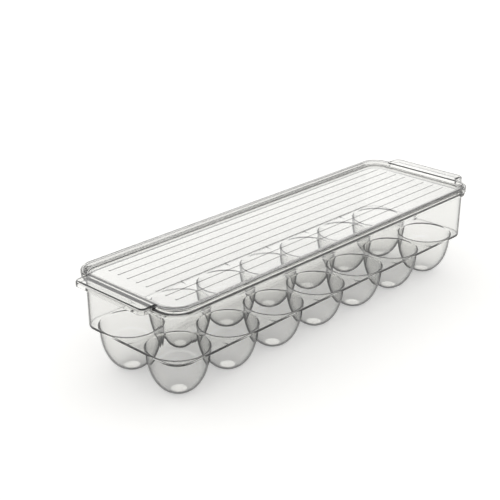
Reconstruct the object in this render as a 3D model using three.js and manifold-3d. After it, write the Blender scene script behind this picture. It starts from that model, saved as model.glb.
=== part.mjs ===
// Covered egg holder: a clear two-row tray with round cups and a lift-off lid with a grip at each end.
// Millimetres, +Z up. X runs along the two rows, the front long side faces -Y.
// The origin lies under the middle of the tray, on the plane that the cups stand on.

import * as THREE from "three";
import { mergeVertices } from "three/addons/utils/BufferGeometryUtils.js";
import Module from "manifold-3d";

// Overall sizes
const overallLength = 372; // over the tips of the two grips
const lidWidth = 108;
const overallHeight = 79;

// Tray
const cupsPerRow = 7;
const rows = 2;
const deckHeight = 33.9; // underside of the deck above the cups' feet
const deckThickness = 2;
const wallThickness = 2;
const trayCornerRadius = 14.5;
const wallDraft = 0.5; // how far each wall leans in from its top to the deck
const deckEdgeRadius = 1.2; // rounding where the walls turn under into the deck
const deckFilletRadius = 2.5; // rounding inside, between the deck and the walls
const endOverhang = 3.1; // lid's rim past the tray's wall, at the ends
const sideOverhang = 2.7; // lid's rim past the tray's wall, along the sides
const rimBandHeight = 3;
const rimBandInset = 0.8; // tray's rim behind the lid's rim
const rimEdgeRadius = 0.8;

// Cups
const endLedge = 1.9; // deck left outside the end cups
const sideLedge = 3.2; // deck left outside the rows
const cupWeb = 3.2; // least deck between two cups
const cupFootRadius = 6; // flat that each cup stands on
const bowlPower = 2.2; // 2 makes each bowl's side an ellipse, and more makes it fuller
const cupWallThickness = 2;
const cupMouthRadius = 1.4; // cup's mouth, eased into the deck

// Lid
const seatGap = 0.3; // between the lid and the tray's rim
const lidBandHeight = 5;
const lidCornerRadius = 16.5;
const lidTopRadius = 1.5; // rounding along the rim's upper outer edge
const lidPanelThickness = 2;
const lidWall = 1.9;
const rimWidth = 3.5; // the rim's rounding and flat land, out to in
const recessDraft = 1.1; // how far the recess wall leans in down to the panel
const locatorClearance = 0.4; // between the locating lip and the tray's wall
const locatorThickness = 1.6;
const locatorDepth = 2.4;

// Ribs on the lid's panel
const ribCount = 8;
const ribPitch = 9.9;
const ribWidth = 1.4;
const ribHeight = 0.5;
const ribEndMargin = 18.6; // from the rib's end to the end of the rim

// Grips
const gripReach = 12.4; // past the end of the lid's rim
const gripShoulder = 0.3; // straight end of the rim between its corner and a grip's root
const gripCornerRadius = 5;
const gripRootRadius = 1.2;

// Facets
const cornerSegments = 8;
const filletSegments = 4;
const roundingSegments = 3;
const mouthSegments = 1;
const cupSegments = 24;
const cupRings = 5;
const ribSegments = 4;
const overrun = 1; // how far a cut runs past the surface it opens

// Sizes that follow from those above
const lidBottom = overallHeight - lidBandHeight;
const trayTop = lidBottom - seatGap;
const deckTop = deckHeight + deckThickness;
const lidHalfLength = overallLength / 2 - gripReach;
const lidHalfWidth = lidWidth / 2;
const wallHalfLength = lidHalfLength - endOverhang;
const wallHalfWidth = lidHalfWidth - sideOverhang;
const gripHalfWidth = lidHalfWidth - lidCornerRadius - gripRootRadius - gripShoulder;
const panelTop = lidBottom + lidPanelThickness;
const recessHalfLength = lidHalfLength - rimWidth;
const recessHalfWidth = lidHalfWidth - rimWidth;

// Cup places: both directions leave the least web, and the tighter one sets the radius
const deckHalfLength = wallHalfLength - wallDraft;
const deckHalfWidth = wallHalfWidth - wallDraft;
const rowSpan = 2 * (deckHalfLength - endLedge);
const crossSpan = 2 * (deckHalfWidth - sideLedge);
const radiusAlongRow = (rowSpan - (cupsPerRow - 1) * cupWeb) / (2 * cupsPerRow);
const radiusAcrossRows = (crossSpan - (rows - 1) * cupWeb) / (2 * rows);
const cupRadius = Math.min(radiusAlongRow, radiusAcrossRows);
const cupPitchX = (rowSpan - 2 * cupRadius) / (cupsPerRow - 1);
const cupPitchY = (crossSpan - 2 * cupRadius) / (rows - 1);

const clearPlastic = { color: 0xeef3f3, roughness: 0.06, metalness: 0, transparent: true };
const trayMaterial = new THREE.MeshStandardMaterial({ ...clearPlastic, opacity: 0.35 });
const lidMaterial = new THREE.MeshStandardMaterial({ ...clearPlastic, opacity: 0.4 });

const wasm = await Module();
wasm.setup();

// Turns a closed geometry into a solid that can be joined and cut
function solidOf(geometry) {
  const bare = geometry.clone();
  bare.deleteAttribute("normal");
  bare.deleteAttribute("uv");
  const merged = mergeVertices(bare);
  return new wasm.Manifold(
    new wasm.Mesh({
      numProp: 3,
      vertProperties: new Float32Array(merged.attributes.position.array),
      triVerts: new Uint32Array(merged.index.array),
    }),
  );
}

// Turns a finished solid into a named mesh
function meshOf(name, solid, material) {
  const data = solid.getMesh();
  const geometry = new THREE.BufferGeometry();
  geometry.setAttribute("position", new THREE.BufferAttribute(data.vertProperties, 3));
  geometry.setIndex(new THREE.BufferAttribute(data.triVerts, 1));
  geometry.computeVertexNormals();
  const mesh = new THREE.Mesh(geometry, material);
  mesh.name = name;
  return mesh;
}

// Points of an arc, both ends included; a clockwise arc has its end angle below its start
function arcPoints(centreX, centreY, radius, startAngle, endAngle, segments) {
  const points = [];
  for (let i = 0; i <= segments; i += 1) {
    const angle = startAngle + ((endAngle - startAngle) * i) / segments;
    const x = centreX + radius * Math.cos(angle);
    const y = centreY + radius * Math.sin(angle);
    points.push(new THREE.Vector2(x, y));
  }
  return points;
}

// Mirrors a quarter outline, which runs from the +X side to the +Y side, into all four quarters
function fourQuarters(quarter) {
  const flip = (points, signX, signY) =>
    points.map((point) => new THREE.Vector2(point.x * signX, point.y * signY));
  const reversed = [...quarter].reverse();
  return [
    ...quarter,
    ...flip(reversed, -1, 1),
    ...flip(quarter, -1, -1),
    ...flip(reversed, 1, -1),
  ];
}

// Outline of a rectangle with rounded corners
function roundedRectangle(halfLength, halfWidth, radius) {
  const centreX = halfLength - radius;
  const centreY = halfWidth - radius;
  return fourQuarters(arcPoints(centreX, centreY, radius, 0, Math.PI / 2, cornerSegments));
}

// Outline of the lid with its grips, moved inwards by inset
function lidOutline(inset) {
  const tipX = lidHalfLength + gripReach - inset;
  const gripSideY = gripHalfWidth - inset;
  const tipRadius = gripCornerRadius - inset;
  const rootRadius = gripRootRadius + inset;
  const cornerRadius = lidCornerRadius - inset;
  const endX = lidHalfLength - inset;
  const rootX = endX + rootRadius;
  const rootY = gripSideY + rootRadius;
  const tip = arcPoints(tipX - tipRadius, gripSideY - tipRadius, tipRadius, 0, Math.PI / 2, filletSegments);
  const root = arcPoints(rootX, rootY, rootRadius, (3 * Math.PI) / 2, Math.PI, filletSegments);
  const centreX = lidHalfLength - lidCornerRadius;
  const centreY = lidHalfWidth - lidCornerRadius;
  const corner = arcPoints(centreX, centreY, cornerRadius, 0, Math.PI / 2, cornerSegments);
  return fourQuarters([...tip, ...root, ...corner]);
}

// Closed solid through a stack of outlines with equal counts of points, from the lowest up
function loft(sections) {
  const count = sections[0].outline.length;
  const positions = [];
  for (const section of sections) {
    for (const point of section.outline) {
      positions.push(point.x, point.y, section.z);
    }
  }
  const index = [];
  for (let ring = 0; ring < sections.length - 1; ring += 1) {
    for (let i = 0; i < count; i += 1) {
      const next = (i + 1) % count;
      const low = ring * count;
      const high = low + count;
      index.push(low + i, low + next, high + next);
      index.push(low + i, high + next, high + i);
    }
  }
  const last = (sections.length - 1) * count;
  for (const [a, b, c] of THREE.ShapeUtils.triangulateShape(sections[0].outline, [])) {
    index.push(a, c, b);
  }
  for (const [a, b, c] of THREE.ShapeUtils.triangulateShape(sections.at(-1).outline, [])) {
    index.push(last + a, last + b, last + c);
  }
  const geometry = new THREE.BufferGeometry();
  geometry.setAttribute("position", new THREE.Float32BufferAttribute(positions, 3));
  geometry.setIndex(index);
  return solidOf(geometry);
}

// Heights and insets of a quarter-round edge; rise and inset go from 0 to radius along it
function quarterRound(radius, segments = roundingSegments) {
  const steps = [];
  for (let i = 0; i <= segments; i += 1) {
    const angle = (Math.PI / 2) * (i / segments);
    steps.push({ rise: radius * Math.sin(angle), inset: radius * (1 - Math.cos(angle)) });
  }
  return steps;
}

// Tray walls and deck as one block, rounded underneath
function trayBlock() {
  const ring = (z, inset) => ({
    z,
    outline: roundedRectangle(wallHalfLength - inset, wallHalfWidth - inset, trayCornerRadius - inset),
  });
  const underside = quarterRound(deckEdgeRadius)
    .reverse()
    .map((step) => ring(deckHeight + deckEdgeRadius - step.rise, wallDraft + step.inset));
  return loft([...underside, ring(trayTop, 0)]);
}

// Room inside the walls, above the deck
function trayRoom() {
  const draftPerHeight = wallDraft / (trayTop - deckHeight);
  const ring = (z, inset) => ({
    z,
    outline: roundedRectangle(
      wallHalfLength - wallThickness - inset,
      wallHalfWidth - wallThickness - inset,
      trayCornerRadius - wallThickness - inset,
    ),
  });
  const wallInset = (z) => (trayTop - z) * draftPerHeight;
  const floor = quarterRound(deckFilletRadius)
    .reverse()
    .map((step) => {
      const z = deckTop + deckFilletRadius - step.rise;
      return ring(z, wallInset(z) + step.inset);
    });
  return loft([...floor, ring(trayTop, 0), ring(trayTop + overrun, 0)]);
}

// Band round the top of the walls, which the lid sits on
function trayRim() {
  const ring = (z, inset) => ({
    z,
    outline: roundedRectangle(
      lidHalfLength - rimBandInset - inset,
      lidHalfWidth - rimBandInset - inset,
      lidCornerRadius - rimBandInset - inset,
    ),
  });
  const steps = quarterRound(rimEdgeRadius);
  const lower = [...steps]
    .reverse()
    .map((step) => ring(trayTop - rimBandHeight + rimEdgeRadius - step.rise, step.inset));
  const upper = steps.map((step) => ring(trayTop - rimEdgeRadius + step.rise, step.inset));
  return loft([...lower, ...upper]);
}

// The cups' outside is part of a superellipse centred at the deck, cut flat at the foot
const footShare = (1 - (cupFootRadius / cupRadius) ** bowlPower) ** (1 / bowlPower);
const cupBowlDepth = deckHeight / footShare;

// Superellipse points from the flat at height lowest up to the deck
function bowlProfile(radius, depth, lowest) {
  const start = Math.acos(((deckHeight - lowest) / depth) ** (bowlPower / 2));
  const points = [];
  for (let i = 0; i <= cupRings; i += 1) {
    const angle = start + (Math.PI / 2 - start) * (i / cupRings);
    const across = radius * Math.sin(angle) ** (2 / bowlPower);
    const down = depth * Math.cos(angle) ** (2 / bowlPower);
    points.push(new THREE.Vector2(across, deckHeight - down));
  }
  return points;
}

// A profile from the axis out and back, turned about +Z
function revolve(profile) {
  const geometry = new THREE.LatheGeometry(profile, cupSegments);
  geometry.rotateX(Math.PI / 2);
  return solidOf(geometry);
}

// One cup's outside, which reaches up into the deck
function cupBody() {
  const bowl = bowlProfile(cupRadius, cupBowlDepth, 0);
  const top = deckHeight + deckThickness / 2;
  return revolve([
    new THREE.Vector2(0, 0),
    ...bowl,
    new THREE.Vector2(cupRadius, top),
    new THREE.Vector2(0, top),
  ]);
}

// One cup's hollow, with its mouth rounded into the deck
function cupHollow() {
  const radius = cupRadius - cupWallThickness;
  const bowl = bowlProfile(radius, cupBowlDepth - cupWallThickness, cupWallThickness);
  const mouth = quarterRound(cupMouthRadius, mouthSegments).map(
    (step) => new THREE.Vector2(radius + step.inset, deckTop - cupMouthRadius + step.rise),
  );
  const top = deckTop + overrun;
  return revolve([
    new THREE.Vector2(0, cupWallThickness),
    ...bowl,
    ...mouth,
    new THREE.Vector2(radius + cupMouthRadius, top),
    new THREE.Vector2(0, top),
  ]);
}

// Copies of a solid at every cup's place, as one solid
function atEveryCup(solid) {
  let all = null;
  for (let row = 0; row < rows; row += 1) {
    for (let column = 0; column < cupsPerRow; column += 1) {
      const x = (column - (cupsPerRow - 1) / 2) * cupPitchX;
      const y = (row - (rows - 1) / 2) * cupPitchY;
      const placed = solid.translate([x, y, 0]);
      all = all ? all.add(placed) : placed;
    }
  }
  return all;
}

function buildTray() {
  const shell = trayBlock().add(trayRim()).subtract(trayRoom());
  return shell.add(atEveryCup(cupBody())).subtract(atEveryCup(cupHollow()));
}

// Lid block: the full outline with its upper outer edge rounded
function lidBlock() {
  const ring = (z, inset) => ({ z, outline: lidOutline(inset) });
  const upper = quarterRound(lidTopRadius).map((step) =>
    ring(overallHeight - lidTopRadius + step.rise, step.inset),
  );
  return loft([ring(lidBottom, 0), ...upper]);
}

// Recess in the lid's top, down to the panel
function lidRecess() {
  const ring = (z, inset) => ({
    z,
    outline: roundedRectangle(
      recessHalfLength - inset,
      recessHalfWidth - inset,
      lidCornerRadius - rimWidth - inset,
    ),
  });
  return loft([ring(panelTop, recessDraft), ring(overallHeight, 0), ring(overallHeight + overrun, 0)]);
}

// Hollow underneath each end of the rim and its grip, behind a skirt of the lid's wall thickness
function lidEndHollow() {
  const hollowTop = overallHeight - lidWall;
  const room = loft([
    { z: lidBottom - overrun, outline: lidOutline(lidWall) },
    { z: hollowTop, outline: lidOutline(lidWall) },
  ]);
  const keepHalfLength = recessHalfLength + lidWall;
  const keep = new THREE.BoxGeometry(2 * keepHalfLength, 2 * lidWidth, 2 * overallHeight);
  return room.subtract(solidOf(keep));
}

// Lip under the panel that drops inside the tray's walls
function lidLocator() {
  const clear = wallThickness + locatorClearance;
  const ring = (z, inset) => ({
    z,
    outline: roundedRectangle(
      wallHalfLength - clear - inset,
      wallHalfWidth - clear - inset,
      trayCornerRadius - clear - inset,
    ),
  });
  const foot = lidBottom - locatorDepth;
  const root = lidBottom + lidPanelThickness / 2;
  const outside = loft([ring(foot, 0), ring(root, 0)]);
  const inside = loft([
    ring(foot - overrun, locatorThickness),
    ring(lidBottom, locatorThickness),
  ]);
  return outside.subtract(inside);
}

// One raised rib along X, a low arch in section with its foot sunk in the panel
function lidRib(y) {
  const halfWidth = ribWidth / 2;
  const rise = arcPoints(0, 0, halfWidth, 0, Math.PI, ribSegments).map(
    (point) => new THREE.Vector2(point.x, (point.y / halfWidth) * ribHeight),
  );
  const foot = -lidPanelThickness / 2;
  const section = new THREE.Shape([
    new THREE.Vector2(-halfWidth, foot),
    new THREE.Vector2(halfWidth, foot),
    ...rise,
  ]);
  const length = 2 * (lidHalfLength - ribEndMargin);
  const geometry = new THREE.ExtrudeGeometry(section, { depth: length, bevelEnabled: false });
  geometry.rotateX(Math.PI / 2);
  geometry.rotateZ(Math.PI / 2);
  geometry.translate(-length / 2, y, panelTop);
  return solidOf(geometry);
}

function buildLid() {
  let lid = lidBlock().subtract(lidRecess()).subtract(lidEndHollow()).add(lidLocator());
  for (let i = 0; i < ribCount; i += 1) {
    lid = lid.add(lidRib((i - (ribCount - 1) / 2) * ribPitch));
  }
  return lid;
}

const eggHolder = new THREE.Group();
eggHolder.add(meshOf("tray", buildTray(), trayMaterial));
eggHolder.add(meshOf("lid", buildLid(), lidMaterial));

export default eggHolder;
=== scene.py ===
import math

import bmesh
import bpy
import numpy as np
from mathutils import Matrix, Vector


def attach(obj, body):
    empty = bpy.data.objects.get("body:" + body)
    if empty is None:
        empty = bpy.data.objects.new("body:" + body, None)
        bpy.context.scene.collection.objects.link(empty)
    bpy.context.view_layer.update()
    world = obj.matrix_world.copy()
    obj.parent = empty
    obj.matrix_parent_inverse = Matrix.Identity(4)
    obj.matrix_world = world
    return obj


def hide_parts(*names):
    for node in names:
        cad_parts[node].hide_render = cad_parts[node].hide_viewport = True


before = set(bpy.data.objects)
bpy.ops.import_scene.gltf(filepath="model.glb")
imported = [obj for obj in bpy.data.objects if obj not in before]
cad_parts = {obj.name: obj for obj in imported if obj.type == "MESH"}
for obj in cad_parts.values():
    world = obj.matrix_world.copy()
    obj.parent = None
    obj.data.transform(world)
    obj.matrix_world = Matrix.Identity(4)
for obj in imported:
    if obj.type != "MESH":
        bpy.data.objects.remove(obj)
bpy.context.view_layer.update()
scene = bpy.context.scene
mm = 0.001
weldDistance = 1e-6  # m, points closer than this are one
sharpAngle = 35  # degrees, edges that turn more stay sharp
close = 1e-6  # mm, values closer than this count as equal
tiny = 1e-9  # stands in for nought where a number divides


# Shared shapes

def arc(radius, start, end, steps):
    # Points of a circle about (0, 0) from start to end degrees, both ends kept
    angle = np.radians(np.linspace(start, end, steps + 1))
    return np.stack([radius * np.cos(angle), radius * np.sin(angle)], axis=1)


def ring(loop, centre, radius, z):
    # A rounded rectangle: each column's share of the arc centre, plus the radius along its normal
    x = loop[:, 0] * centre[0] + loop[:, 2] * radius
    y = loop[:, 1] * centre[1] + loop[:, 3] * radius
    return np.stack([x, y, np.full(len(loop), float(z))], axis=1)


def sheet(rows, closed=False):
    # Quads between neighbouring rows and columns of a grid of points
    rows = np.asarray(rows, float)
    index = np.arange(rows.shape[0] * rows.shape[1]).reshape(rows.shape[:2])
    if closed:
        index = np.hstack([index, index[:, :1]])
    quads = np.stack([index[:-1, :-1], index[:-1, 1:], index[1:, 1:], index[1:, :-1]], axis=-1)
    return rows.reshape(-1, 3), quads.reshape(-1, 4)


def mirrored(part, axis):
    # The same sheet on the other side of a plane through the middle
    points = part[0].copy()
    points[:, axis] *= -1
    return points, part[1][:, ::-1]


def solidPiece(name, parts):
    # Sheets that share their edges, welded into one closed body with its faces outwards
    starts = np.cumsum([0] + [len(points) for points, _ in parts[:-1]])
    points = np.concatenate([points for points, _ in parts]) * mm
    quads = np.concatenate([quads + start for (_, quads), start in zip(parts, starts)])
    mesh = bpy.data.meshes.new(name)
    mesh.from_pydata(points.tolist(), [], quads.tolist())
    shell = bmesh.new()
    shell.from_mesh(mesh)
    bmesh.ops.remove_doubles(shell, verts=shell.verts, dist=weldDistance)
    bmesh.ops.recalc_face_normals(shell, faces=shell.faces)
    openEdges = sum(1 for edge in shell.edges if len(edge.link_faces) != 2)
    shell.to_mesh(mesh)
    shell.free()
    mesh.shade_smooth()
    mesh.set_sharp_from_angle(angle=math.radians(sharpAngle))
    piece = bpy.data.objects.new(name, mesh)
    scene.collection.objects.link(piece)
    weighted = piece.modifiers.new("flats stay flat", "WEIGHTED_NORMAL")
    weighted.keep_sharp = True
    print(name, "has", len(mesh.polygons), "faces and", openEdges, "open edges")
    return piece


# Tray

tray = {
    "cupsPerRow": 7,
    "cupPitch": (48.4857, 49.9143),  # along a row, and from row to row
    "cupRadius": 22.6429,  # outside, at the deck
    "cupWall": 1.2,
    "cupFoot": 6.0,  # radius of the flat it stands on
    "bowlPower": 2.2,  # 2 is an ellipse, more is fuller
    "mouthRadius": 1.0,
    "underRadius": 0.5,  # fillet where a bowl meets the deck's underside
    "deckUnder": 33.9,
    "deckTop": 35.1,
    "deckFillet": 1.0,
    "deckEdge": 0.8,
    "wallCentre": (156.0, 36.8),  # middle of the walls' corner arcs
    "wallRadius": 14.5,  # outside of those arcs, at the top
    "wall": 1.2,
    "draft": 0.5,
    "top": 73.7,
    "rimCentre": (157.1, 37.5),
    "rimRadius": 15.7,
    "rimHeight": 3.0,
    "rimEdge": 0.8,
    "topEdge": 0.4,
    "underBand": 0.4,  # rounding inside the corner under the rim's band
    "rayStep": 5.0,  # degrees between a cup's meridians
    "footRing": 0.5,  # share of the foot's radius at which its one inner ring lies
    "bowlRings": 16,
    "deckRings": 9,
    "underRings": 4,
    "wallRings": 7,
    "filletShare": 0.5,  # outer share of the deck's rings that may rise into the wall's fillet
    "mouthSteps": 4,
    "smallSteps": 3,  # of the roundings under 0.6 mm
    "edgeSteps": 5,
}


def wallRadiusAt(z):
    # The outer corner radius, which shrinks by the draft from the walls' top to the deck
    drop = (tray["top"] - z) / (tray["top"] - tray["deckUnder"])
    return tray["wallRadius"] - tray["draft"] * drop


def bowlRows(radius, depth, lowest, highest, count):
    # Superellipse (r / radius)^p + (drop / depth)^p = 1 between two heights, as rows of (r, z)
    power = tray["bowlPower"]
    start = math.acos(((tray["deckUnder"] - lowest) / depth) ** (power / 2))
    end = math.acos(((tray["deckUnder"] - highest) / depth) ** (power / 2))
    angle = np.linspace(start, end, count + 1)
    r = radius * np.sin(angle) ** (2 / power)
    z = tray["deckUnder"] - depth * np.cos(angle) ** (2 / power)
    return np.stack([r, z], axis=1)


def cellEdge(middle, low, high, corner, radius):
    # Where rays from a cup's middle meet its cell's edge: the lines halfway to the next cups, or the wall,
    # which is straight up to its corner arc's middle and a circle about that middle from there on
    half = np.array(corner) + radius
    keys = []
    for x, y in ((high[0], low[1]), (high[0], high[1]), (low[0], high[1]), (low[0], low[1])):
        if abs(x) > corner[0] and y > corner[1]:
            ends = [(math.copysign(half[0], x), corner[1]), (math.copysign(corner[0], x), half[1])]
            keys += ends if x > 0 else ends[::-1]
        else:
            keys.append((x, y))
    offset = np.array(keys + keys[:1]) - middle
    turn = np.unwrap(np.arctan2(offset[:, 1], offset[:, 0]))
    counts = np.maximum(1, np.round(np.degrees(np.diff(turn)) / tray["rayStep"])).astype(int)
    angle = np.concatenate([np.linspace(a, b, n + 1)[:-1] for a, b, n in zip(turn, turn[1:], counts)])
    ray = np.stack([np.cos(angle), np.sin(angle)], axis=1)
    safe = np.where(np.abs(ray) < tiny, tiny, ray)
    reach = np.where(safe > 0, (high - middle) / safe, (low - middle) / safe).min(axis=1)
    point = middle + ray * reach[:, None]
    skeleton = np.clip(point, -np.array(corner), corner)
    inCorner = (np.abs(point) > np.array(corner) + tiny).all(axis=1)
    away = middle - skeleton
    along = (ray * away).sum(axis=1)
    onArc = -along + np.sqrt(np.maximum(0, along**2 - (away**2).sum(axis=1) + radius**2))
    point = np.where(inCorner[:, None], middle + ray * onArc[:, None], point)
    distance = np.linalg.norm(point - skeleton, axis=1)
    onWall = distance > radius - close
    normal = np.where(onWall[:, None], (point - skeleton) / np.maximum(distance, tiny)[:, None], 0)
    return ray, point, skeleton, normal, onWall


def cupCell(middle, low, high):
    # One cup with its share of the deck, as rings from the middle outwards. Inside: flat, superellipse, the
    # mouth's quarter circle, and the deck, which rises to the wall by the fillet's quarter circle.
    # Outside: flat, superellipse, quarter circle and the level underside.
    topRadius = wallRadiusAt(tray["deckTop"] + tray["deckFillet"]) - tray["wall"]
    underRadius = wallRadiusAt(tray["deckUnder"] + tray["deckEdge"]) - tray["deckEdge"]
    corner = np.array(tray["wallCentre"])
    ray, edge, skeleton, normal, onWall = cellEdge(middle, low, high, tray["wallCentre"], topRadius)
    power = tray["bowlPower"]
    depth = tray["deckUnder"] / (1 - (tray["cupFoot"] / tray["cupRadius"]) ** power) ** (1 / power)

    def rings(profile):
        # Circles about the cup's middle: each radius times the rays, at its height
        flat = middle + profile[:, None, :1] * ray
        return np.concatenate([flat, np.broadcast_to(profile[:, None, 1:], flat.shape[:2] + (1,))], axis=2)

    innerRadius = tray["cupRadius"] - tray["cupWall"]
    inner = bowlRows(innerRadius, depth - tray["cupWall"], tray["cupWall"], tray["deckUnder"],
                     tray["bowlRings"])
    floor = np.array([[0, tray["cupWall"]], [inner[0, 0] * tray["footRing"], tray["cupWall"]]])
    mouth = arc(tray["mouthRadius"], 180, 90, tray["mouthSteps"])
    mouth += (innerRadius + tray["mouthRadius"], tray["deckTop"] - tray["mouthRadius"])
    insideRings = rings(np.concatenate([floor, inner, mouth]))
    share = 1 - (1 - np.linspace(0, 1, tray["deckRings"] + 1)[1:]) ** 2
    start = insideRings[-1, :, :2]
    deck = start + share[:, None, None] * (edge - start)
    clamped = np.clip(deck, -corner, corner)
    gap = np.clip(topRadius - np.linalg.norm(deck - clamped, axis=2), 0, tray["deckFillet"])
    rise = tray["deckFillet"] - np.sqrt(tray["deckFillet"] ** 2 - (tray["deckFillet"] - gap) ** 2)
    ease = np.clip(share / tray["filletShare"], 0, 1)[:, None]
    height = tray["deckTop"] + rise * ease**2 * (3 - 2 * ease)
    inside = np.concatenate([insideRings, np.concatenate([deck, height[:, :, None]], axis=2)])

    outer = bowlRows(tray["cupRadius"], depth, 0, tray["deckUnder"] - tray["underRadius"], tray["bowlRings"])
    foot = np.array([[0, 0], [tray["cupFoot"] * tray["footRing"], 0]])
    fillet = arc(tray["underRadius"], 180, 90, tray["smallSteps"])[1:]
    fillet += (tray["cupRadius"] + tray["underRadius"], tray["deckUnder"] - tray["underRadius"])
    outsideRings = rings(np.concatenate([foot, outer, fillet]))
    underEdge = np.where(onWall[:, None], skeleton + normal * underRadius, edge)
    start = outsideRings[-1, :, :2]
    share = np.linspace(0, 1, tray["underRings"] + 1)[1:, None, None]
    under = start + share * (underEdge - start)
    under = np.concatenate([under, np.full(under.shape[:2] + (1,), tray["deckUnder"])], axis=2)
    outside = np.concatenate([outsideRings, under])

    columns = np.concatenate([skeleton / corner, normal], axis=1)[onWall]
    return sheet(inside, closed=True), sheet(outside[::-1], closed=True), columns


def trayWall(loop):
    # A profile carried round the loop: up inside from the deck's fillet, over the rim's band, which stands
    # out on arcs of its own, and down outside to the deck's edge, all corners quarter circles
    wallCentre, rimCentre = tray["wallCentre"], tray["rimCentre"]
    top, thick = tray["top"], tray["wall"]
    bandBottom = top - tray["rimHeight"]
    rows = []
    edge, small, steps = tray["topEdge"], tray["smallSteps"], tray["edgeSteps"]
    for z in np.linspace(tray["deckTop"] + tray["deckFillet"], top - edge, tray["wallRings"] + 1):
        rows.append((wallCentre, wallRadiusAt(z) - thick, z))
    for across, up in arc(edge, 180, 90, small)[1:]:
        rows.append((wallCentre, tray["wallRadius"] - thick + edge + across, top - edge + up))
    edge = tray["rimEdge"]
    for across, up in arc(edge, 90, 0, steps):
        rows.append((rimCentre, tray["rimRadius"] - edge + across, top - edge + up))
    for across, up in arc(edge, 0, -90, steps):
        rows.append((rimCentre, tray["rimRadius"] - edge + across, bandBottom + edge + up))
    fillet = tray["underBand"]
    filletFoot = bandBottom - fillet
    for across, up in arc(fillet, 90, 180, small):
        rows.append((wallCentre, wallRadiusAt(filletFoot) + fillet + across, filletFoot + up))
    edge = tray["deckEdge"]
    for z in np.linspace(filletFoot, tray["deckUnder"] + edge, tray["wallRings"] + 1)[1:-1]:
        rows.append((wallCentre, wallRadiusAt(z), z))
    for across, up in arc(edge, 0, -90, steps):
        z = tray["deckUnder"] + edge + up
        rows.append((wallCentre, wallRadiusAt(tray["deckUnder"] + edge) - edge + across, z))
    return sheet([ring(loop, *row) for row in rows], closed=True)


def buildTray():
    # Seven cells of the back row with their mirror images in front, closed by the wall
    pitchX, pitchY = tray["cupPitch"]
    topRadius = wallRadiusAt(tray["deckTop"] + tray["deckFillet"]) - tray["wall"]
    half = np.array(tray["wallCentre"]) + topRadius
    parts, columns = [], []
    last = tray["cupsPerRow"] - 1
    for i in range(last, -1, -1):
        x = (i - last / 2) * pitchX
        low = np.array([-half[0] if i == 0 else x - pitchX / 2, 0])
        high = np.array([half[0] if i == last else x + pitchX / 2, half[1]])
        inside, outside, cellColumns = cupCell(np.array([x, pitchY / 2]), low, high)
        parts += [inside, outside, mirrored(inside, 1), mirrored(outside, 1)]
        columns.append(cellColumns if not columns else cellColumns[1:])
    back = np.concatenate(columns)
    front = back[-2:0:-1] * (1, -1, 1, -1)
    parts.append(trayWall(np.concatenate([back, front])))
    return solidPiece("clearTray", parts)


trayPiece = buildTray()

# Lid

lid = {
    "bottom": 74.0,
    "top": 79.0,
    "centre": (157.1, 37.5),  # middle of the corner arcs
    "cornerRadius": 16.5,
    "topRadius": 1.9,
    "bottomEdge": 0.3,
    "panelTop": 76.0,
    "panelUnder": 74.8,  # inside the locating lip
    "recessRadius": 13.0,
    "recessDraft": 1.1,
    "recessEdge": 0.4,
    "recessFillet": 0.75,
    "ribs": 8,
    "ribPitch": 9.9,
    "ribWidth": 1.4,
    "ribHeight": 0.28,
    "ribFlank": 0.15,  # how wide each sloping side is
    "flankColumns": (0, 0.33, 0.67, 1),  # shares of the flank at which columns run
    "ribHalfLength": 155.0,
    "ribEnd": 0.6,  # length of the dome at a rib's end
    "ribEndColumns": (0, 0.03, 0.12, 0.3, 0.6),  # from the rib's end inwards
    # Columns across the end, besides the ribs' own
    "endColumns": (0, 10, 20, 30, 31, 31.7, 32.4, 33.1, 35.9, 36.5, 37.0),
    "sideColumns": (148.0, 135.0),  # along the side, then evenly from the second to the middle
    "evenColumns": 10,
    "gripTip": 186.0,
    "gripHalfWidth": 36.0,
    "gripCorner": 5.0,
    "gripRoot": 1.2,
    "lipRise": 0.6,  # how much higher the grips' lip ends than the rim
    "skirt": 1.4,  # thickness all round the hollow under the rim and the grips
    "hollowFillet": 0.4,
    "locatorCentre": (156.0, 36.8),
    "locatorRadius": 12.1,
    "locatorThickness": 1.6,
    "locatorDepth": 2.4,
    "locatorEdge": 0.3,
    "locatorRoot": 0.3,
    "borderStep": 0.3,  # from a rounding to the panel's first flat ring
    "borderRadii": (6.0, 5.0),  # of the panel's next ring, above and below
    "cornerSteps": 14,
    "rootSteps": 4,
    "smallSteps": 3,
    "recessEdgeSteps": 4,
    "filletSteps": 6,
    "topSteps": 7,
}


def endLines():
    # Places across the lid where columns run: nine over each rib, and some over the grip's corner
    half, flank = lid["ribWidth"] / 2, lid["ribFlank"]
    side = half - flank * np.array(lid["flankColumns"])
    across = np.concatenate([-side, [0], side])
    middles = (np.arange(lid["ribs"] // 2) + 0.5) * lid["ribPitch"]
    onRibs = (middles[:, None] + across).ravel()
    return np.unique(np.round(np.concatenate([onRibs, lid["endColumns"], lid["centre"][1:]]), 6))


def sideLines():
    # Places along the lid's length where columns run, close together at the ribs' ends
    ribEnds = lid["ribHalfLength"] - np.array(lid["ribEndColumns"])
    first, second = lid["sideColumns"]
    even = np.linspace(second, 0, lid["evenColumns"])
    return np.concatenate([lid["centre"][:1], ribEnds, [first], even])


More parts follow.
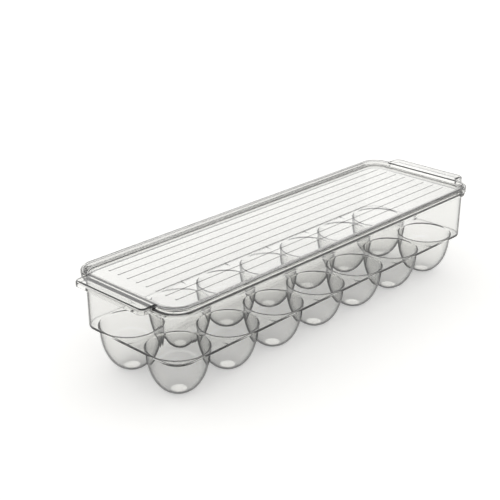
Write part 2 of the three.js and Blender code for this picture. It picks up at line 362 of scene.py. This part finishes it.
def lidColumns():
    # Quarter of the loop: the end, the corner's arc and the side, then mirrored into all four. A column holds
    # its share of the arc centre and its normal, for ring, and its place and normal on the grips' outline.
    y, x = endLines(), sideLines()
    centreX, centreY = lid["centre"]
    turn = arc(1, 0, 90, lid["cornerSteps"])[1:]
    one = np.ones_like
    quarter = np.concatenate([
        np.stack([one(y), y / centreY, one(y), 0 * y], axis=1),
        np.concatenate([np.ones((len(turn), 2)), turn], axis=1),
        np.stack([x[1:] / centreX, one(x[1:]), 0 * x[1:], one(x[1:])], axis=1),
    ])
    root = lid["gripRoot"]
    tipMiddle = np.array([lid["gripTip"] - lid["gripCorner"], lid["gripHalfWidth"] - lid["gripCorner"]])
    endX = centreX + lid["cornerRadius"]
    rootMiddle = np.array([endX + root, lid["gripHalfWidth"] + root])
    flat = y[y <= tipMiddle[1] + close]
    rootArc = arc(1, 270, 180, lid["rootSteps"])
    tipArc = arc(1, 0, 90, len(y) - len(flat) - len(rootArc) - 1)[1:]
    place = np.concatenate([
        np.stack([0 * flat + lid["gripTip"], flat], axis=1),
        tipMiddle + tipArc * lid["gripCorner"],
        rootMiddle + rootArc * root,
        [[endX, centreY]],
        np.array(lid["centre"]) + turn * lid["cornerRadius"],
        np.stack([x[1:], 0 * x[1:] + centreY + lid["cornerRadius"]], axis=1),
    ])
    normal = np.concatenate([
        np.tile([1.0, 0.0], (len(flat), 1)), tipArc, -rootArc, [[1.0, 0.0]], turn,
        np.tile([0.0, 1.0], (len(x) - 1, 1)),
    ])
    columns = np.concatenate([quarter, place, normal], axis=1)
    loop = [columns[:1]]
    for signX, signY in ((1, 1), (-1, 1), (-1, -1), (1, -1)):
        part = columns * np.tile([signX, signY], 4)
        loop.append(part[::-1][1:] if signX * signY < 0 else part[1:])
    return np.concatenate(loop)[:-1]


def outline(loop, inset, z):
    # The lid's outline with its grips, moved inwards along the normals
    flat = loop[:, 4:6] - inset * loop[:, 6:8]
    return np.column_stack([flat, np.zeros(len(loop)) + z])


def underEdge(loop):
    # Height of the bottom edge: level under the rim, and rising to the grips' lip over half the grip
    reach = np.abs(loop[:, 4]) - lid["centre"][0] - lid["cornerRadius"]
    full = lid["gripTip"] - lid["gripCorner"] - lid["centre"][0] - lid["cornerRadius"]
    return lid["bottom"] + lid["lipRise"] * np.clip(reach / full, 0, 1)


def panel(centre, z, ribs):
    # The flat inside the corner arcs' middles. A rib's height is its full height times the squared sine of
    # the way up its flank and of the way in from its end, both a quarter turn long.
    y, x = endLines(), sideLines()
    y = np.concatenate([-y[:0:-1], y]) * centre[1] / lid["centre"][1]
    x = np.concatenate([-x, x[-2::-1]]) * centre[0] / lid["centre"][0]
    gridX, gridY = np.meshgrid(x, y)
    height = np.full(gridX.shape, float(z))
    if ribs:
        nearest = (np.abs(gridY) / lid["ribPitch"]) % 1 - 0.5
        across = np.clip((lid["ribWidth"] / 2 - np.abs(nearest) * lid["ribPitch"]) / lid["ribFlank"], 0, 1)
        along = np.clip((lid["ribHalfLength"] - np.abs(gridX)) / lid["ribEnd"], 0, 1)
        height += lid["ribHeight"] * np.sin(across * np.pi / 2) ** 2 * np.sin(along * np.pi / 2) ** 2
    return sheet(np.stack([gridX, gridY, height], axis=2))


def lidUpper(loop):
    # A profile carried round: bottom edge, skirt and rounded top on the outline with the grips, then the
    # rim's land, the leaning recess wall and the panel's border on the plain rounded rectangle
    edge, radius = lid["bottomEdge"], lid["topRadius"]
    rows = []
    for across, up in arc(edge, -90, 0, lid["smallSteps"]):
        rows.append(outline(loop, edge - across, underEdge(loop) + edge + up))
    for across, up in arc(radius, 0, 90, lid["topSteps"]):
        rows.append(outline(loop, radius - across, lid["top"] - radius + up))
    edge, fillet, centre = lid["recessEdge"], lid["recessFillet"], lid["centre"]
    for across, up in arc(edge, 90, 180, lid["recessEdgeSteps"]):
        rows.append(ring(loop, centre, lid["recessRadius"] + edge + across, lid["top"] - edge + up))
    foot = lid["recessRadius"] - lid["recessDraft"]
    for across, up in arc(fillet, 0, -90, lid["filletSteps"]):
        rows.append(ring(loop, centre, foot - fillet + across, lid["panelTop"] + fillet + up))
    for radius in (foot - fillet - lid["borderStep"], lid["borderRadii"][0], 0):
        rows.append(ring(loop, centre, radius, lid["panelTop"]))
    return sheet(rows, closed=True)


def lidLower(loop):
    # A profile carried round: up behind the skirt, under the hollow's ceiling, down beside the recess wall,
    # round the locating lip and in to the panel's border, all corners quarter circles
    bottom, fillet, skirt, steps = lid["bottom"], lid["hollowFillet"], lid["skirt"], lid["smallSteps"]
    root, edge, under = lid["locatorRoot"], lid["locatorEdge"], lid["panelUnder"]
    ceiling = lid["top"] - skirt
    rows = [outline(loop, lid["bottomEdge"], underEdge(loop)), outline(loop, skirt, underEdge(loop))]
    for across, up in arc(fillet, 180, 90, steps):
        rows.append(outline(loop, skirt + fillet + across, ceiling - fillet + up))
    foot = lid["recessRadius"] + skirt - lid["recessDraft"]
    high = foot + lid["recessDraft"] * (ceiling - lid["panelTop"]) / (lid["top"] - lid["panelTop"])
    for across, up in arc(fillet, 90, 0, steps):
        rows.append(ring(loop, lid["centre"], high + fillet - across, ceiling - fillet + up))
    rows.append(ring(loop, lid["centre"], foot, bottom))
    centre, radius = lid["locatorCentre"], lid["locatorRadius"]
    for across, up in arc(root, 90, 180, steps):
        rows.append(ring(loop, centre, radius + root + across, bottom - root + up))
    foot = bottom - lid["locatorDepth"]
    for across, up in arc(edge, 0, -90, steps):
        rows.append(ring(loop, centre, radius - edge + across, foot + edge + up))
    inside = radius - lid["locatorThickness"]
    for across, up in arc(edge, -90, -180, steps):
        rows.append(ring(loop, centre, inside + edge + across, foot + edge + up))
    for across, up in arc(root, 0, 90, steps):
        rows.append(ring(loop, centre, inside - root + across, under - root + up))
    for radius in (inside - root - lid["borderStep"], lid["borderRadii"][1], 0):
        rows.append(ring(loop, centre, radius, under))
    return sheet(rows, closed=True)


def buildLid():
    # Upper and lower skin share the bottom edge, and two flats close them in the middle
    loop = lidColumns()
    parts = [lidUpper(loop), lidLower(loop)]
    parts.append(panel(lid["centre"], lid["panelTop"], True))
    parts.append(panel(lid["locatorCentre"], lid["panelUnder"], False))
    return solidPiece("clearLid", parts)


lidPiece = buildLid()

# Materials


def linear(code):
    # sRGB hex to the linear colour that a socket takes
    channels = [int(code[i:i + 2], 16) / 255 for i in (1, 3, 5)]
    return [c / 12.92 if c <= 0.04045 else ((c + 0.055) / 1.055) ** 2.4 for c in channels] + [1.0]


def addNode(tree, kind, settings=None, **links):
    # Adds a node, sets what is named, and links or sets its inputs by name or, as in input0, by number
    node = tree.nodes.new(kind)
    for key, value in (settings or {}).items():
        setattr(node, key, value)
    for key, value in links.items():
        byNumber = key.startswith("input")
        socket = node.inputs[int(key.removeprefix("input")) if byNumber else key.replace("_", " ")]
        if isinstance(value, bpy.types.NodeSocket):
            tree.links.new(value, socket)
        else:
            socket.default_value = value
    return node


def newMaterial(name):
    # An empty node tree to build a finish in
    material = bpy.data.materials.new(name)
    material.use_nodes = True
    material.node_tree.nodes.clear()
    return material, material.node_tree


smooth = {"interpolation_type": "SMOOTHSTEP"}  # for Map Range

styrene = {
    "colour": "#fefefd",
    "ior": 1.57,
    "roughness": (0.012, 0.05),  # polished mould, and where it is a little worn
    "wornPatch": 34.0,  # mm
    "wornDetail": 5.0,
    "wornRange": (0.45, 0.8),  # of the noise, from polished to worn
    "waviness": 17.0,  # mm, slow shrinkage waves of a moulding
    "waveDetail": 1.5,
    "waveHeight": 0.012,  # mm
    "depthColour": "#f0efeb",  # what a long way through the plastic takes on
    "depthDensity": 30.0,  # per metre
}


def clearStyrene(name):
    # Injection-moulded clear polystyrene from a polished mould: glassy, with slow waves and faint wear
    material, tree = newMaterial(name)
    place = addNode(tree, "ShaderNodeTexCoord").outputs["Object"]
    worn = addNode(tree, "ShaderNodeTexNoise", Vector=place, Scale=1 / (styrene["wornPatch"] * mm),
                   Detail=styrene["wornDetail"])
    rough = addNode(tree, "ShaderNodeMapRange", smooth, Value=worn.outputs["Fac"],
                    From_Min=styrene["wornRange"][0], From_Max=styrene["wornRange"][1],
                    To_Min=styrene["roughness"][0], To_Max=styrene["roughness"][1])
    waves = addNode(tree, "ShaderNodeTexNoise", Vector=place, Scale=1 / (styrene["waviness"] * mm),
                    Detail=styrene["waveDetail"])
    bump = addNode(tree, "ShaderNodeBump", Strength=1.0, Distance=styrene["waveHeight"] * mm,
                   Height=waves.outputs["Fac"])
    body = addNode(tree, "ShaderNodeBsdfPrincipled", Base_Color=linear(styrene["colour"]), IOR=styrene["ior"],
                   Transmission_Weight=1.0, Roughness=rough.outputs["Result"], Normal=bump.outputs["Normal"])
    depth = addNode(tree, "ShaderNodeVolumeAbsorption", Color=linear(styrene["depthColour"]),
                    Density=styrene["depthDensity"])
    addNode(tree, "ShaderNodeOutputMaterial", Surface=body.outputs["BSDF"], Volume=depth.outputs["Volume"])
    return material


for piece, node, body in ((trayPiece, "tray", "tray"), (lidPiece, "lid", "lid")):
    piece.data.materials.append(clearStyrene("clearStyrene_" + node))
    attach(piece, body)
    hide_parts(node)
print("tray and lid made")

# Studio

studio = {
    "floorHalf": 8.0,  # m
    "floorColour": "#eae9e6",
    "floorGlow": 0.42,
    "axis": (0.66, 0.64, 0.39),  # towards the bright backdrop
    "sweep": (-0.5, 0.6),  # from the near side's grey to the backdrop's white, as cosines to the axis
    "nearSide": 0.35,
    "horizon": 1.0,
    "fill": 0.85,  # what matt surfaces get from all round
    # What light thrown back inside the plastic sees: dark cards in the world, and painted shade that darkens
    # the floor close by
    "insideSweep": (0.1, 0.8),
    "insideNear": 0.05,
    "insideFar": 0.15,
    # painted shade on the floor: close by, only this share of its brightness is left for light thrown back
    # inside the plastic, and it fades out over the reach below
    "floorLeftUnderPaintedShade": 0.08,
    "floorReach": (0.2, 0.3),  # m, from there on the floor is as bright as it is
    "plateSweep": (0.975, 0.99),  # past these a level plate's far face mirrors the backdrop after all
}


def thrownBack(tree):
    # 1 for light both refracted and reflected on its way, which is given dark cards to see and painted shade
    # on the floor close by
    path = addNode(tree, "ShaderNodeLightPath")
    both = addNode(tree, "ShaderNodeMath", {"operation": "MULTIPLY"}, input0=path.outputs["Glossy Depth"],
                   input1=path.outputs["Transmission Depth"])
    least = addNode(tree, "ShaderNodeMath", {"operation": "MINIMUM"}, input0=both.outputs[0], input1=1.0)
    return least.outputs[0]


def studioFloor():
    # Flat pale square with enough glow of its own to read as the white of a studio sweep, with painted shade
    # close by for light thrown back inside the plastic
    half = studio["floorHalf"]
    mesh = bpy.data.meshes.new("floor")
    corners = [(-half, -half, 0), (half, -half, 0), (half, half, 0), (-half, half, 0)]
    mesh.from_pydata(corners, [], [(0, 1, 2, 3)])
    floor = bpy.data.objects.new("floor", mesh)
    scene.collection.objects.link(floor)
    material, tree = newMaterial("paleFloorWithPaintedShade")
    paint = addNode(tree, "ShaderNodeBsdfDiffuse", Color=linear(studio["floorColour"]))
    glow = addNode(tree, "ShaderNodeEmission", Strength=studio["floorGlow"])
    both = addNode(tree, "ShaderNodeAddShader", input0=paint.outputs[0], input1=glow.outputs[0])
    # painted shade: close to where it left the plastic, light thrown back inside sees the floor turn dark
    # instead of lit
    paintedFloorShade = addNode(tree, "ShaderNodeEmission", Strength=0.0)
    length = addNode(tree, "ShaderNodeLightPath").outputs["Ray Length"]
    shade = addNode(tree, "ShaderNodeMapRange", smooth, Value=length, From_Min=studio["floorReach"][0],
                    From_Max=studio["floorReach"][1], To_Min=1 - studio["floorLeftUnderPaintedShade"], To_Max=0.0)
    share = addNode(tree, "ShaderNodeMath", {"operation": "MULTIPLY"}, input0=thrownBack(tree),
                    input1=shade.outputs["Result"])
    seen = addNode(tree, "ShaderNodeMixShader", input0=share.outputs[0], input1=both.outputs[0],
                   input2=paintedFloorShade.outputs[0])
    addNode(tree, "ShaderNodeOutputMaterial", Surface=seen.outputs[0])
    mesh.materials.append(material)


def studioWorld():
    # White backdrop behind and overhead, greyer on the camera's side, with dark cards for light thrown back:
    # each a smooth step of the cosine between the ray and the axis
    world = bpy.data.worlds.new("studio")
    scene.world = world
    world.use_nodes = True
    tree = world.node_tree
    tree.nodes.clear()
    direction = addNode(tree, "ShaderNodeTexCoord").outputs["Generated"]
    far = addNode(tree, "ShaderNodeVectorMath", {"operation": "DOT_PRODUCT"}, input0=direction,
                  input1=studio["axis"]).outputs["Value"]
    levels = {}
    for name, low, high in (("sweep", "nearSide", "horizon"), ("insideSweep", "insideNear", "insideFar")):
        levels[name] = addNode(tree, "ShaderNodeMapRange", smooth, Value=far, From_Min=studio[name][0],
                               From_Max=studio[name][1], To_Min=studio[low], To_Max=studio[high])
    plate = addNode(tree, "ShaderNodeMapRange", smooth, Value=far, From_Min=studio["plateSweep"][0],
                    From_Max=studio["plateSweep"][1], To_Min=levels["insideSweep"].outputs["Result"],
                    To_Max=studio["horizon"])
    level = addNode(tree, "ShaderNodeMix", input0=thrownBack(tree), input2=levels["sweep"].outputs["Result"],
                    input3=plate.outputs["Result"])
    look = addNode(tree, "ShaderNodeBackground", Color=linear("#ffffff"), Strength=level.outputs[0])
    fill = addNode(tree, "ShaderNodeBackground", Color=linear("#ffffff"), Strength=studio["fill"])
    path = addNode(tree, "ShaderNodeLightPath")
    mix = addNode(tree, "ShaderNodeMixShader", input0=path.outputs["Is Diffuse Ray"], input1=look.outputs[0],
                  input2=fill.outputs[0])
    addNode(tree, "ShaderNodeOutputWorld", Surface=mix.outputs[0])


studioFloor()
studioWorld()

# Camera

view = {
    "place": (-0.5946, -0.5222, 0.38705),  # m
    "azimuth": -46.36,  # degrees, as is the elevation
    "elevation": 22.79,
    "focal": 1088.36,  # pixels of the frame's side
    "frame": 500,
    "sensor": 36,  # mm
    "clip": (0.01, 50),  # m
}
azimuth, elevation = math.radians(view["azimuth"]), math.radians(view["elevation"])
across = math.cos(elevation)
back = Vector((math.sin(azimuth) * across, -math.cos(azimuth) * across, math.sin(elevation)))
camera = bpy.data.objects.new("camera", bpy.data.cameras.new("camera"))
camera.location = view["place"]
camera.rotation_euler = back.to_track_quat("Z", "Y").to_euler()
camera.data.sensor_width = view["sensor"]
camera.data.lens = view["focal"] / view["frame"] * view["sensor"]
camera.data.clip_start, camera.data.clip_end = view["clip"]
scene.collection.objects.link(camera)
scene.camera = camera
scene.view_settings.view_transform = "Standard"
print("studio and camera made")
